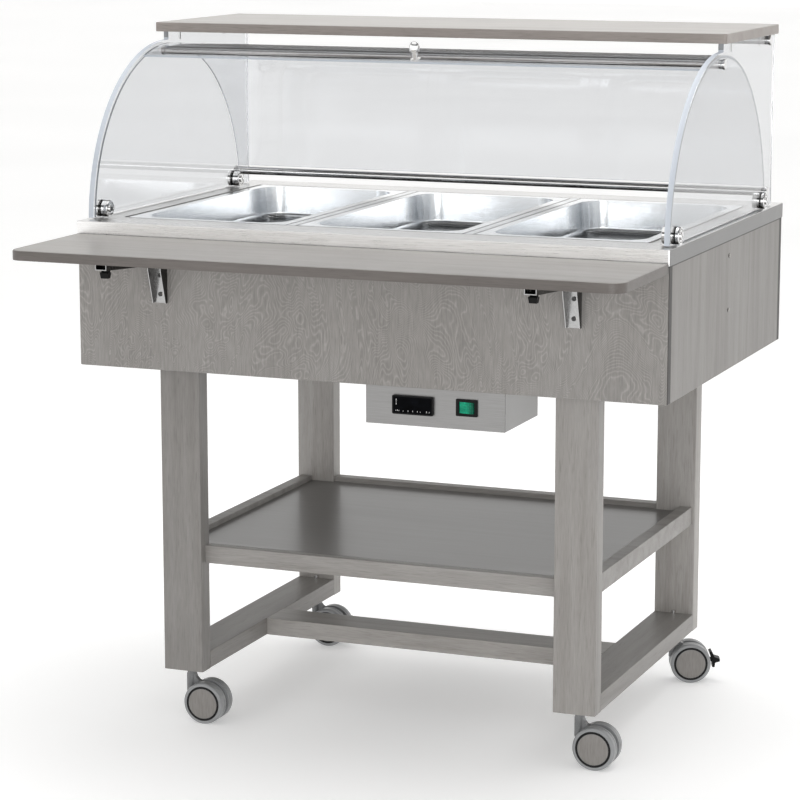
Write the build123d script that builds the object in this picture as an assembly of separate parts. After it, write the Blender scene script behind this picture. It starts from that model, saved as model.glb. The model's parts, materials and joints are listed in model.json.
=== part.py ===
from build123d import *
import os

# Mobile steam table: a wooden trolley carrying a heated well with three pans under a roll-top guard.
# X runs along the table, -Y is the serving side with the controls, +Z is up. Millimetres and degrees.
# Sizes are laid out about the middle of the worktop; save() moves them to the middle of the footprint.

# ---- driving dimensions -------------------------------------------------------------------------
TABLE_LENGTH = 1140.0
TABLE_DEPTH = 776.0
WORKTOP_HEIGHT = 961.0
FOOTPRINT_SHIFT = 131.0
SHEET = 1.2
RIM_DROP = 28.0
FIT_GAP = 0.3
RUNNING_GAP = 0.06

# wooden base
CASTER_HEIGHT = 105.0
PLANK_WIDTH = 80.0
PLANK_THICKNESS = 36.0
RAIL_HEIGHT = 34.0
LEG_CENTRE_X = 389.0
LEG_INNER_Y = 299.0
LEG_TOP = 925.0
APRON_BOTTOM = 691.0
BOARD_THICKNESS = 18.0
BATTEN_BOTTOM = 860.0
CLEAT_THICKNESS = 30.0
SIDE_SCREW_HEIGHTS = (803.5, 904.0)
SCREW_RADIUS = 2.0
SIDE_HEAD = (3.8, 1.4)
BRACKET_HEAD = (4.2, 2.2)
RECESS_HALF_WIDTH = 0.6
RECESS_REACH = 2.5
RECESS_DEPTH = 1.0

# lower shelf
SHELF_TOP = 348.0
SHELF_LIP = 10.0
SHELF_BOARD = 12.0
SHELF_RAIL_WIDTH = 25.0
SHELF_SIDE_X = 423.0
SHELF_FRONT_Y = -316.0
SHELF_REAR_Y = 305.0

# heated well and pans
PAN_WIDTH = 325.0
PAN_LENGTH = 614.0
PAN_DEPTH = 65.0
PAN_RIM = 18.5
PAN_GAUGE = 1.0
PAN_PITCH = 345.0
BAR_WEB = 17.0
BAR_FLANGE = 39.0
OPENING_HALF_X = 515.0
OPENING_HALF_Y = 310.0
TANK_HALF_X = 495.0
TANK_HALF_Y = 290.5
TANK_FLOOR = 792.0
TANK_FLANGE = 1.5
CASING_HALF_X = 515.2
CASING_HALF_Y = 296.0
CASING_FLOOR = 757.0
ELEMENT_RADIUS = 4.25
DRAIN_PLACE = (430.0, 200.0)
PROBE_HEIGHT = 812.0

# guard
PANEL_OUTER_X = 560.0
PANEL_THICKNESS = 10.0
PANEL_BOTTOM = 963.5
PANEL_STEP_Y = -36.0
PANEL_REAR_Y = 331.0
PANEL_RADIUS = 326.0
ARC_CENTRE_Y = -33.0
ARC_CENTRE_Z = 950.0
COVER_RADIUS = 320.0
COVER_THICKNESS = 4.0
COVER_FRONT_ANGLE = 19.2
COVER_REAR_ANGLE = 80.2
GROOVE_DEPTH = 3.0
KNOB_ANGLE = 16.7
ROD_RADIUS = 8.0
ROD_CAP_RADIUS = 9.5
ROD_CAP_LENGTH = 6.0
ROD_NECK_LENGTH = 1.5
RODS = {"front_top": (-41.3, 1254.7), "rear_top": (283.0, 1281.0), "rear_low": (283.0, 992.0)}
CLAMP_RADIUS = 16.0
CLAMP_INNER = 14.0
CLAMP_OUTER = 8.0
CLAMP_Y = (-316.0, 262.0)
STUD_RADIUS = 3.0
BOLT_HEAD_RADIUS = 7.0
BOLT_HEAD_HEIGHT = 2.0
BOLT_SLOT_DEPTH = 1.2
BOLT_SLOT_TILT = 38.0
TOP_SHELF_BOTTOM = 1292.0
TOP_SHELF_FRONT_Y = -53.0
TOP_SHELF_REAR_Y = 325.0

# folding tray slide
TRAY_FRONT_Y = -650.0
TRAY_REAR_Y = -390.0
TRAY_HALF_X = 568.0
TRAY_TOP = 938.0
BRACKET_X = 399.0
BRACKET_WIDTH = 27.0
BRACKET_DEPTH = 27.0
BRACKET_GAUGE = 1.5
BRACKET_SCREW_HEIGHTS = (833.0, 868.0)
ARM_WIDTH = 22.0
ARM_TIP_Y = -620.0
ARM_TIP_BOTTOM = 906.0
ARM_EYE_RADIUS = 10.0
PIVOT = (-401.0, 900.0)
PIVOT_RADIUS = 4.0
ARM_FLOOR_Y = -570.0
LEVER_SLOT = (-608.0, -588.0)
LEVER_PIVOT = (-590.0, 912.0)
LEVER_PIN_RADIUS = 2.0

# control box
BOX_X = (-2.0, 264.0)
BOX_Y = (-362.0, -184.0)
BOX_Z = (617.0, 757.0)
BOX_SEAM = (1.0, 0.7)
DISPLAY_CENTRE = (90.0, 655.0)
DISPLAY_SIZE = (79.0, 34.5)
SWITCH_CENTRE = (192.5, 657.0)
BEZEL_SIZE = (41.0, 31.0)
ROCKER_SIZE = (27.7, 20.3)
ROCKER_PIVOT_Y = -359.0
ROCKER_TILT = 7.0

# casters: place of the swivel axis, and the direction that the wheels trail in
CASTERS = {
    "front_left": (-1, -1, 0.0),
    "front_right": (1, -1, 0.0),
    "rear_left": (-1, 1, 0.0),
    "rear_right": (1, 1, 21.7),
}
BRAKED = ("rear_left", "rear_right")
STEM_RADIUS = 4.5
STEM_TOP = 145.0
STEM_TUBE_RADIUS = 8.5
WHEEL_RADIUS = 40.0
WHEEL_INNER = 6.0
WHEEL_OUTER = 26.0
WHEEL_GAP = 1.2
TREAD_GROOVE = (11.0, 12.6)
HOOD_HALF_WIDTH = 5.5
HOOD_RADIUS = 36.0
TRAIL = 34.0
AXLE_RADIUS = 4.0
PEDAL_PLACE = (64.0, 44.0)
PEDAL_HALF_WIDTH = 4.0
PEDAL_TREAD_HALF_WIDTH = 11.0
PEDAL_PIN_RADIUS = 1.5

# ---- worked-out places --------------------------------------------------------------------------
HALF_LENGTH = TABLE_LENGTH / 2
HALF_DEPTH = TABLE_DEPTH / 2
SHEET_UNDERSIDE = WORKTOP_HEIGHT - SHEET
RIM_BOTTOM = WORKTOP_HEIGHT - RIM_DROP
APRON_X = HALF_LENGTH - SHEET - FIT_GAP
APRON_Y = HALF_DEPTH - SHEET - FIT_GAP
APRON_INNER_X = APRON_X - BOARD_THICKNESS
APRON_INNER_Y = APRON_Y - BOARD_THICKNESS
LEG_OUTER_Y = LEG_INNER_Y + PLANK_THICKNESS
LEG_INNER_X = LEG_CENTRE_X - PLANK_WIDTH / 2
LEG_OUTER_X = LEG_CENTRE_X + PLANK_WIDTH / 2
RAIL_TOP = CASTER_HEIGHT + RAIL_HEIGHT
PANEL_INNER_X = PANEL_OUTER_X - PANEL_THICKNESS
STUD_X = PANEL_INNER_X - CLAMP_INNER / 2
CLAMP_Z = WORKTOP_HEIGHT + CLAMP_RADIUS
TRAY_BOTTOM = TRAY_TOP - BOARD_THICKNESS
TOP_SHELF_TOP = TOP_SHELF_BOTTOM + BOARD_THICKNESS
COVER_AXIS = Axis((0, ARC_CENTRE_Y, ARC_CENTRE_Z), (1, 0, 0))
SIDES = {"left": -1, "right": 1}
ENDS = {"front": -1, "rear": 1}


# ---- helpers ------------------------------------------------------------------------------------
def slab(x, y, z):
    """A block between three pairs of coordinates, given in any order."""
    size = [abs(pair[1] - pair[0]) for pair in (x, y, z)]
    middle = [(pair[0] + pair[1]) / 2 for pair in (x, y, z)]
    return Pos(*middle) * Box(*size)


def rounded_block(half_x, half_y, z, radius):
    """A block centred on Z with round upright edges."""
    outline = RectangleRounded(2 * half_x, 2 * half_y, radius)
    return Pos(0, 0, z[0]) * extrude(outline, amount=z[1] - z[0])


def rod_x(x, y, z, radius):
    return Pos((x[0] + x[1]) / 2, y, z) * Rot(0, 90, 0) * Cylinder(radius, abs(x[1] - x[0]))


def rod_y(x, y, z, radius):
    return Pos(x, (y[0] + y[1]) / 2, z) * Rot(90, 0, 0) * Cylinder(radius, abs(y[1] - y[0]))


def rod_z(x, y, z, radius):
    return Pos(x, y, (z[0] + z[1]) / 2) * Cylinder(radius, abs(z[1] - z[0]))


def plate_yz(points, x):
    """A plate between two X places, cut to an outline of (y, z) points."""
    outline = make_face(Polyline([(min(x), y, z) for y, z in points], close=True))
    return extrude(outline, amount=abs(x[1] - x[0]), dir=(1, 0, 0))


def plate_xz(points, y):
    """A plate between two Y places, cut to an outline of (x, z) points."""
    outline = make_face(Polyline([(x, min(y), z) for x, z in points], close=True))
    return extrude(outline, amount=abs(y[1] - y[0]), dir=(0, 1, 0))


def eased(shape, axis, radius):
    """Round the edges that run along an axis."""
    return fillet(shape.edges().filter_by(axis), radius)


def save(name, *solids):
    """Write one node of one or more solids, moved to the middle of the footprint."""
    moved = [Pos(0, FOOTPRINT_SHIFT, 0) * solid for solid in solids]
    export_step(moved[0] if len(moved) == 1 else Compound(children=moved), f"parts/{name}.step")


# ---- wooden base --------------------------------------------------------------------------------
def caster_hole(side, end):
    return rod_z(side * LEG_CENTRE_X, end * LEG_INNER_Y, (CASTER_HEIGHT, STEM_TOP), STEM_RADIUS)


def base():
    rails = []
    for side_name, side in SIDES.items():
        for end_name, end in ENDS.items():
            plank = slab((side * LEG_INNER_X, side * LEG_OUTER_X), (end * LEG_INNER_Y, end * LEG_OUTER_Y),
                         (CASTER_HEIGHT, LEG_TOP))
            save(f"leg_{end_name}_{side_name}", eased(plank, Axis.Z, 2.0) - caster_hole(side, end))
        rail = slab((side * LEG_INNER_X, side * LEG_OUTER_X), (-LEG_INNER_Y, LEG_INNER_Y),
                    (CASTER_HEIGHT, RAIL_TOP))
        rail = eased(rail, Axis.Y, 1.5)
        for end in ENDS.values():
            rail -= caster_hole(side, end)
        rails.append(rail)
    save("bottom_rails", *rails)
    stretcher = slab((-LEG_INNER_X, LEG_INNER_X), (-PLANK_WIDTH / 2, PLANK_WIDTH / 2),
                     (CASTER_HEIGHT, RAIL_TOP))
    save("stretcher", eased(stretcher, Axis.X, 1.5))


def lower_shelf():
    lip_top = SHELF_TOP + SHELF_LIP
    rail_z = (lip_top - PLANK_THICKNESS, lip_top)
    side_inner = SHELF_SIDE_X - SHELF_RAIL_WIDTH
    frame = []
    for side in SIDES.values():
        rail = slab((side * side_inner, side * SHELF_SIDE_X), (-LEG_INNER_Y, LEG_INNER_Y), rail_z)
        frame.append(eased(rail, Axis.Y, 1.5))
    rear = slab((-LEG_INNER_X, LEG_INNER_X), (SHELF_REAR_Y, SHELF_REAR_Y + SHELF_RAIL_WIDTH), rail_z)
    front = slab((-LEG_INNER_X, LEG_INNER_X), (SHELF_FRONT_Y, SHELF_FRONT_Y + BOARD_THICKNESS),
                 (SHELF_TOP - RAIL_HEIGHT, SHELF_TOP))
    frame += [eased(rear, Axis.X, 1.5), eased(front, Axis.X, 1.5)]
    save("lower_shelf_frame", *frame)

    board_z = (SHELF_TOP - SHELF_BOARD, SHELF_TOP)
    rear_edge = LEG_INNER_Y - 0.5
    board = slab((-side_inner, side_inner), (SHELF_FRONT_Y + BOARD_THICKNESS, rear_edge), board_z)
    board += slab((0.5 - LEG_INNER_X, LEG_INNER_X - 0.5), (rear_edge, SHELF_REAR_Y), board_z)
    save("lower_shelf_board", board)


def screw_head(radius, height):
    """A round head with a cross recess, standing up along +X."""
    head = rod_x((0, height), 0, 0, radius)
    head = chamfer(head.edges().filter_by(GeomType.CIRCLE).sort_by(Axis.X)[-1], 0.5)
    depth = (height - RECESS_DEPTH, height)
    narrow, wide = (-RECESS_HALF_WIDTH, RECESS_HALF_WIDTH), (-RECESS_REACH, RECESS_REACH)
    return head - slab(depth, narrow, wide) - slab(depth, wide, narrow)


def side_screw(side, z, head=True):
    face = side * APRON_X
    screw = rod_x((face, face - side * 34.0), 0, z, SCREW_RADIUS)
    if head:
        screw += Pos(face, 0, z) * Rot(0, 0, 90 - side * 90) * screw_head(*SIDE_HEAD)
    return screw


def bracket_screw(side, z, head=True):
    face = -APRON_Y - BRACKET_GAUGE
    screw = rod_y(side * BRACKET_X, (face, -APRON_Y + 15.0), z, SCREW_RADIUS)
    if head:
        screw += Pos(side * BRACKET_X, face, z) * Rot(0, 0, -90) * screw_head(*BRACKET_HEAD)
    return screw


def shelf_dowel(side, y):
    x = side * (PANEL_OUTER_X - PANEL_THICKNESS / 2)
    return rod_z(x, y, (TOP_SHELF_BOTTOM - 18.0, TOP_SHELF_BOTTOM + 12.0), SCREW_RADIUS)


SIDE_SCREWS = [(side, z) for side in SIDES.values() for z in SIDE_SCREW_HEIGHTS]
BRACKET_SCREWS = [(side, z) for side in SIDES.values() for z in BRACKET_SCREW_HEIGHTS]
SHELF_DOWELS = [(side, y) for side in SIDES.values() for y in (20.0, 220.0)]


def apron():
    z = (APRON_BOTTOM, SHEET_UNDERSIDE)
    for name, end in ENDS.items():
        board = slab((-APRON_X, APRON_X), (end * APRON_INNER_Y, end * APRON_Y), z)
        corners = board.edges().filter_by(Axis.Z).sort_by(Axis.Y)
        board = fillet(corners[-2:] if end > 0 else corners[:2], 3.0)
        outer_face = board.faces().sort_by(Axis.Y)[-1 if end > 0 else 0]
        board = chamfer(outer_face.edges().filter_by(Axis.X), 1.0)
        if end < 0:
            for screw in BRACKET_SCREWS:
                board -= bracket_screw(*screw, head=False)
        save(f"apron_{name}", board)
    cleats = []
    for name, side in SIDES.items():
        board = slab((side * APRON_INNER_X, side * APRON_X), (-APRON_INNER_Y, APRON_INNER_Y), z)
        outer_face = board.faces().sort_by(Axis.X)[-1 if side > 0 else 0]
        board = chamfer(outer_face.edges().filter_by(Axis.Y), 1.0)
        cleat = slab((side * (APRON_INNER_X - CLEAT_THICKNESS), side * APRON_INNER_X), (-20.0, 20.0),
                     (CASING_FLOOR, LEG_TOP))
        for screw in SIDE_SCREWS:
            board -= side_screw(*screw, head=False)
            cleat -= side_screw(*screw, head=False)
        cleats.append(cleat)
        save(f"apron_{name}", board)
    battens = [slab((-APRON_INNER_X, APRON_INNER_X), (end * LEG_OUTER_Y, end * APRON_INNER_Y),
                    (BATTEN_BOTTOM, LEG_TOP)) for end in ENDS.values()]
    save("inner_battens", *battens, *cleats)
    screws = [side_screw(*screw) for screw in SIDE_SCREWS]
    screws += [bracket_screw(*screw) for screw in BRACKET_SCREWS]
    screws += [shelf_dowel(*dowel) for dowel in SHELF_DOWELS]
    save("screws_and_dowels", *screws)


# ---- heated well --------------------------------------------------------------------------------
def worktop():
    sheet = rounded_block(HALF_LENGTH, HALF_DEPTH, (RIM_BOTTOM, WORKTOP_HEIGHT), 3.0)
    sheet = fillet(sheet.faces().sort_by(Axis.Z)[-1].edges(), 1.4)
    sheet -= rounded_block(HALF_LENGTH - SHEET, HALF_DEPTH - SHEET, (RIM_BOTTOM - 1.0, SHEET_UNDERSIDE), 1.8)
    sheet -= rounded_block(OPENING_HALF_X, OPENING_HALF_Y, (RIM_BOTTOM, WORKTOP_HEIGHT + 5.0), 12.0)
    for side in SIDES.values():
        for y in CLAMP_Y:
            sheet -= rod_z(side * STUD_X, y, (RIM_BOTTOM, WORKTOP_HEIGHT + 1.0), STUD_RADIUS)
    save("worktop", sheet)


def well():
    corner = 20.0
    flange_z = (SHEET_UNDERSIDE - TANK_FLANGE, SHEET_UNDERSIDE)
    tank = rounded_block(TANK_HALF_X + SHEET, TANK_HALF_Y + SHEET, (TANK_FLOOR - SHEET, SHEET_UNDERSIDE),
                         corner + SHEET)
    tank += rounded_block(OPENING_HALF_X + 15.0, OPENING_HALF_Y + 15.0, flange_z, corner)
    tank -= rounded_block(TANK_HALF_X, TANK_HALF_Y, (TANK_FLOOR, WORKTOP_HEIGHT), corner)
    drain_hole = rod_z(*DRAIN_PLACE, (CASING_FLOOR - 5.0, TANK_FLOOR + 5.0), 12.0)
    probe_hole = rod_y(0, (TANK_HALF_Y - 2.0, TANK_HALF_Y + 4.0), PROBE_HEIGHT, 3.0)
    save("well_tank", tank - drain_hole - probe_hole)

    casing = rounded_block(CASING_HALF_X, CASING_HALF_Y, (CASING_FLOOR, flange_z[0]), 8.0)
    casing -= rounded_block(CASING_HALF_X - SHEET, CASING_HALF_Y - SHEET,
                            (CASING_FLOOR + SHEET, WORKTOP_HEIGHT), 6.8)
    save("well_casing", casing - drain_hole)

    drain = rod_z(*DRAIN_PLACE, (CASING_FLOOR - 20.0, TANK_FLOOR + 2.0), 12.0)
    drain += rod_z(*DRAIN_PLACE, (TANK_FLOOR, TANK_FLOOR + 2.0), 17.0)
    drain += rod_z(*DRAIN_PLACE, (CASING_FLOOR - 8.0, CASING_FLOOR), 18.0)
    drain -= rod_z(*DRAIN_PLACE, (CASING_FLOOR - 21.0, TANK_FLOOR - 6.0), 9.0)
    probe = rod_y(0, (TANK_HALF_Y - 45.0, TANK_HALF_Y + SHEET + 1.5), PROBE_HEIGHT, 3.0)
    probe += rod_y(0, (TANK_HALF_Y - 6.0, TANK_HALF_Y), PROBE_HEIGHT, 7.0)
    save("well_fittings", drain, probe)

    bars = []
    for side in SIDES.values():
        x = side * PAN_PITCH / 2
        bar = slab((x - BAR_FLANGE / 2, x + BAR_FLANGE / 2), (5.0 - TANK_HALF_Y, TANK_HALF_Y - 5.0),
                   (SHEET_UNDERSIDE - 4.0, SHEET_UNDERSIDE))
        bar += slab((x - BAR_WEB / 2, x + BAR_WEB / 2), (2.0 - OPENING_HALF_Y, OPENING_HALF_Y - 2.0),
                    (SHEET_UNDERSIDE, WORKTOP_HEIGHT))
        bars.append(bar)
    save("pan_divider_bars", *bars)


def heating_element():
    """Four runs of tube clipped up under the tank's floor."""
    underside = TANK_FLOOR - SHEET
    z = underside - ELEMENT_RADIUS - 0.2
    reach, pitch, bend = 430.0, 130.0, 60.0
    start_x = 40.0 - reach
    rows = [(run - 1.5) * pitch for run in range(4)]
    places = [(start_x, rows[0]), (reach, rows[0]), (reach, rows[1]), (-reach, rows[1]),
              (-reach, rows[2]), (reach, rows[2]), (reach, rows[3]), (start_x, rows[3])]
    path = FilletPolyline([(x, y, z) for x, y in places], radius=bend)
    tube = sweep(Plane(origin=path @ 0, z_dir=path % 0) * Circle(ELEMENT_RADIUS), path=path)
    for y in (rows[0], rows[3]):
        tube += rod_x((start_x - 24.0, start_x), y, z, ELEMENT_RADIUS - 1.0)
    clips = []
    for x in (-250.0, 250.0):
        half_y = rows[3] + 20.0
        clip = slab((x - 8.0, x + 8.0), (-half_y, half_y), (z - ELEMENT_RADIUS - 2.0, z - ELEMENT_RADIUS))
        for end in ENDS.values():
            clip += slab((x - 8.0, x + 8.0), (end * (half_y - 2.0), end * half_y),
                         (z - ELEMENT_RADIUS - 2.0, underside))
        clips.append(clip)
    save("heating_element", tube, *clips)


def bowl(inset, bottom, top):
    """A tapered, round-cornered block that hangs down from the pan's rim."""
    half_x = PAN_WIDTH / 2 - PAN_RIM - inset
    half_y = PAN_LENGTH / 2 - PAN_RIM - inset
    outline = RectangleRounded(2 * half_x, 2 * half_y, 46.0 - inset)
    block = Pos(0, 0, top) * extrude(outline, amount=top - bottom, dir=(0, 0, -1), taper=4)
    return fillet(block.edges().group_by(Axis.Z)[0], 14.0 - inset)


def pans():
    shell = rounded_block(PAN_WIDTH / 2, PAN_LENGTH / 2, (SHEET_UNDERSIDE, WORKTOP_HEIGHT), 14.0)
    shell += bowl(0.0, WORKTOP_HEIGHT - PAN_DEPTH, WORKTOP_HEIGHT)
    shell -= bowl(PAN_GAUGE, WORKTOP_HEIGHT - PAN_DEPTH + PAN_GAUGE, WORKTOP_HEIGHT)
    for name, place in (("left", -1), ("centre", 0), ("right", 1)):
        save(f"pan_{name}", Pos(place * PAN_PITCH, 0, 0) * shell)


# ---- guard --------------------------------------------------------------------------------------
def curved_strip(inner, outer, rear_angle, front_angle, x):
    """A strip bent about the guard's axis, between two angles from upright."""
    middle = Pos((x[0] + x[1]) / 2, ARC_CENTRE_Y, ARC_CENTRE_Z + (inner + outer) / 2)
    outline = middle * Rot(90, 0, 0) * Rectangle(abs(x[1] - x[0]), outer - inner)
    strip = revolve(outline, axis=COVER_AXIS, revolution_arc=front_angle + rear_angle)
    return strip.rotate(COVER_AXIS, -rear_angle)


def side_panels():
    for name, side in SIDES.items():
        x = (side * PANEL_INNER_X, side * PANEL_OUTER_X)
        front = rod_x(x, ARC_CENTRE_Y, ARC_CENTRE_Z, PANEL_RADIUS)
        front &= slab(x, (ARC_CENTRE_Y - PANEL_RADIUS - 1.0, PANEL_STEP_Y),
                      (PANEL_BOTTOM, TOP_SHELF_BOTTOM))
        panel = front + slab(x, (PANEL_STEP_Y, PANEL_REAR_Y), (PANEL_BOTTOM, TOP_SHELF_BOTTOM))
        groove_x = (side * (PANEL_INNER_X - 1.0), side * (PANEL_INNER_X + GROOVE_DEPTH))
        panel -= curved_strip(COVER_RADIUS - COVER_THICKNESS - FIT_GAP, COVER_RADIUS + FIT_GAP,
                              COVER_REAR_ANGLE + 0.4, 92.0, groove_x)
        for y, z in RODS.values():
            panel -= rod_x(x, y, z, ROD_RADIUS)
        for y in CLAMP_Y:
            panel -= rod_x(x, y, CLAMP_Z, STUD_RADIUS)
        for dowel in SHELF_DOWELS:
            panel -= shelf_dowel(*dowel)
        save(f"side_panel_{name}", panel)


def clamps():
    blocks, bolts = [], []
    for side in SIDES.values():
        inner_end = side * (PANEL_INNER_X - CLAMP_INNER)
        outer_end = side * (PANEL_OUTER_X + CLAMP_OUTER)
        for y in CLAMP_Y:
            block = rod_x((inner_end, outer_end), y, CLAMP_Z, CLAMP_RADIUS)
            block = chamfer(block.edges().filter_by(GeomType.CIRCLE), 1.5)
            block += slab((inner_end, outer_end), (y - 8.0, y + 8.0), (WORKTOP_HEIGHT, WORKTOP_HEIGHT + 4.0))
            block -= slab((side * PANEL_INNER_X, side * PANEL_OUTER_X), (y - 20.0, y + 20.0),
                          (PANEL_BOTTOM, CLAMP_Z + 20.0))
            block += rod_z(side * STUD_X, y, (WORKTOP_HEIGHT - 11.0, WORKTOP_HEIGHT + 4.0), STUD_RADIUS)
            bolt = rod_x((inner_end, outer_end), y, CLAMP_Z, STUD_RADIUS)
            for end, outward in ((inner_end, -side), (outer_end, side)):
                groove = (end - outward * BOLT_SLOT_DEPTH, end)
                block -= rod_x(groove, y, CLAMP_Z, 12.5) - rod_x(groove, y, CLAMP_Z, 11.0)
            blocks.append(block - bolt)
            for end, outward in ((inner_end, -side), (outer_end, side)):
                top = end + outward * BOLT_HEAD_HEIGHT
                bolt += rod_x((end, top), y, CLAMP_Z, BOLT_HEAD_RADIUS)
                bolt -= (Pos(0, y, CLAMP_Z) * Rot(BOLT_SLOT_TILT, 0, 0)
                         * slab((top - outward * BOLT_SLOT_DEPTH, top), (-1.0, 1.0), (-8.0, 8.0)))
            nut = rod_z(side * STUD_X, y, (SHEET_UNDERSIDE - 5.0, SHEET_UNDERSIDE), 5.5)
            nut -= rod_z(side * STUD_X, y, (SHEET_UNDERSIDE - 5.0, SHEET_UNDERSIDE), STUD_RADIUS)
            bolts += [bolt, nut]
    save("panel_clamps", *blocks)
    save("clamp_bolts_and_nuts", *bolts)


def guard_rods():
    for name, (y, z) in RODS.items():
        neck_end = PANEL_OUTER_X + ROD_NECK_LENGTH
        rod = rod_x((-neck_end, neck_end), y, z, ROD_RADIUS)
        for side in SIDES.values():
            cap = rod_x((side * neck_end, side * (PANEL_OUTER_X + ROD_CAP_LENGTH)), y, z, ROD_CAP_RADIUS)
            rims = cap.edges().filter_by(GeomType.CIRCLE).sort_by(Axis.X)
            rod += fillet(rims[-1] if side > 0 else rims[0], 1.8)
        save(f"guard_rod_{name}", rod)


def top_shelf():
    board = slab((-HALF_LENGTH, HALF_LENGTH), (TOP_SHELF_FRONT_Y, TOP_SHELF_REAR_Y),
                 (TOP_SHELF_BOTTOM, TOP_SHELF_TOP))
    board = eased(board, Axis.Z, 5.0)
    board = fillet(board.faces().sort_by(Axis.Z)[-1].edges(), 2.0)
    for dowel in SHELF_DOWELS:
        board -= shelf_dowel(*dowel)
    save("top_shelf", board)


def roll_cover():
    half_x = PANEL_INNER_X + GROOVE_DEPTH - 0.5
    cover = curved_strip(COVER_RADIUS - COVER_THICKNESS, COVER_RADIUS, COVER_REAR_ANGLE, COVER_FRONT_ANGLE,
                         (-half_x, half_x))
    tilt = Pos(0, ARC_CENTRE_Y, ARC_CENTRE_Z) * Rot(KNOB_ANGLE, 0, 0)
    screw_radius = 2.5
    cover -= tilt * rod_z(0, 0, (COVER_RADIUS - 10.0, COVER_RADIUS + 10.0), screw_radius)
    save("roll_cover", cover)

    base_z = COVER_RADIUS + 0.1
    foot = [(0, 0), (10.5, 0), (10.5, 2.0), (6.0, 3.5), (6.0, 12.5), (9.4, 15.0)]
    dome = [(9.4, 15.0), (10.2, 19.0), (9.0, 26.0), (5.0, 32.0), (0, 34.0)]
    outline = Polyline([(x, 0, base_z + z) for x, z in foot])
    outline += Spline([(x, 0, base_z + z) for x, z in dome])
    outline += Line((0, 0, base_z + 34.0), (0, 0, base_z))
    knob = revolve(make_face(outline), axis=Axis.Z)
    knob += rod_z(0, 0, (COVER_RADIUS - 7.0, base_z + 1.0), screw_radius)
    knob += rod_z(0, 0, (COVER_RADIUS - 7.0, COVER_RADIUS - COVER_THICKNESS - 0.1), 5.0)
    save("cover_knob", tilt * knob)


# ---- folding tray slide -------------------------------------------------------------------------
def lever_pin(side, radius):
    x = side * BRACKET_X
    return rod_x((x - ARM_WIDTH / 2, x + ARM_WIDTH / 2), *LEVER_PIVOT, radius)


def bracket_wall(side):
    """The channel screwed to the apron, with the arm's pivot pin."""
    x = side * BRACKET_X
    half = BRACKET_WIDTH / 2
    back = -APRON_Y
    web = slab((x - half, x + half), (back - BRACKET_GAUGE, back), (817.0, 913.0))
    for z in BRACKET_SCREW_HEIGHTS:
        web -= rod_y(x, (back - BRACKET_GAUGE, back), z, SCREW_RADIUS)
    flange = [(back, 817.0), (back, 913.0), (back - BRACKET_DEPTH, 913.0), (back - BRACKET_DEPTH, 880.0),
              (back - 8.0, 817.0)]
    channel = web
    for edge in SIDES.values():
        channel += plate_yz(flange, (x + edge * (half - BRACKET_GAUGE), x + edge * half))
    channel += rod_x((x - half - 2.0, x + half + 2.0), *PIVOT, PIVOT_RADIUS)
    for edge in SIDES.values():
        channel += rod_x((x + edge * half, x + edge * (half + 2.0)), *PIVOT, PIVOT_RADIUS + 2.5)
    return channel


def bracket_arm(side):
    """The channel under the tray, bored for the pivot and carrying the release lever's pin."""
    x = side * BRACKET_X
    half = ARM_WIDTH / 2
    pivot_y, pivot_z = PIVOT
    rear_y = pivot_y + ARM_EYE_RADIUS
    cheek = [(rear_y, TRAY_BOTTOM), (rear_y, pivot_z), (pivot_y + 7.1, pivot_z - 7.1),
             (pivot_y, pivot_z - ARM_EYE_RADIUS), (ARM_TIP_Y, ARM_TIP_BOTTOM), (ARM_TIP_Y, TRAY_BOTTOM)]
    arm = slab((x - half, x + half), (ARM_TIP_Y, rear_y), (TRAY_BOTTOM - BRACKET_GAUGE, TRAY_BOTTOM))
    for edge in SIDES.values():
        arm += plate_yz(cheek, (x + edge * (half - BRACKET_GAUGE), x + edge * half))
    slope = (pivot_z - ARM_EYE_RADIUS - ARM_TIP_BOTTOM) / (pivot_y - ARM_TIP_Y)
    floor_end = ARM_TIP_BOTTOM + slope * (ARM_FLOOR_Y - ARM_TIP_Y)
    floor = plate_yz([(ARM_TIP_Y, ARM_TIP_BOTTOM), (ARM_FLOOR_Y, floor_end),
                      (ARM_FLOOR_Y, floor_end + BRACKET_GAUGE),
                      (ARM_TIP_Y, ARM_TIP_BOTTOM + BRACKET_GAUGE)], (x - half, x + half))
    arm += floor - slab((x - 6.5, x + 6.5), LEVER_SLOT, (pivot_z, TRAY_BOTTOM))
    arm -= rod_x((x - half, x + half), *PIVOT, PIVOT_RADIUS + RUNNING_GAP)
    return arm + lever_pin(side, LEVER_PIN_RADIUS)


def release_lever(side):
    x = side * BRACKET_X
    pin_y, pin_z = LEVER_PIVOT
    neck = [(pin_y - 4.5, pin_z), (pin_y + 4.5, pin_z), (pin_y - 6.0, 901.0), (pin_y - 18.0, 901.0)]
    lever = plate_yz(neck, (x - 6.0, x + 6.0)) + rod_x((x - 6.0, x + 6.0), pin_y, pin_z, 4.5)
    tab_outline = [(x - 8.5, 901.0), (x + 8.5, 901.0), (x + 6.5, 890.0), (x - 6.5, 890.0)]
    tab = plate_xz(tab_outline, (pin_y - 18.0, pin_y - 6.0))
    lever += fillet(tab.edges().filter_by(Axis.X), 2.0)
    return lever - lever_pin(side, LEVER_PIN_RADIUS + RUNNING_GAP)


def tray():
    board = slab((-TRAY_HALF_X, TRAY_HALF_X), (TRAY_FRONT_Y, TRAY_REAR_Y), (TRAY_BOTTOM, TRAY_TOP))
    front_corners = board.edges().filter_by(Axis.Z).sort_by(Axis.Y)[:2]
    board = fillet(front_corners, 25.0)
    board = fillet(board.faces().sort_by(Axis.Z)[-1].edges(), 3.0)
    save("tray_board", board)
    for name, side in SIDES.items():
        save(f"bracket_wall_{name}", bracket_wall(side))
        save(f"bracket_arm_{name}", bracket_arm(side))
        save(f"release_lever_{name}", release_lever(side))


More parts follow.
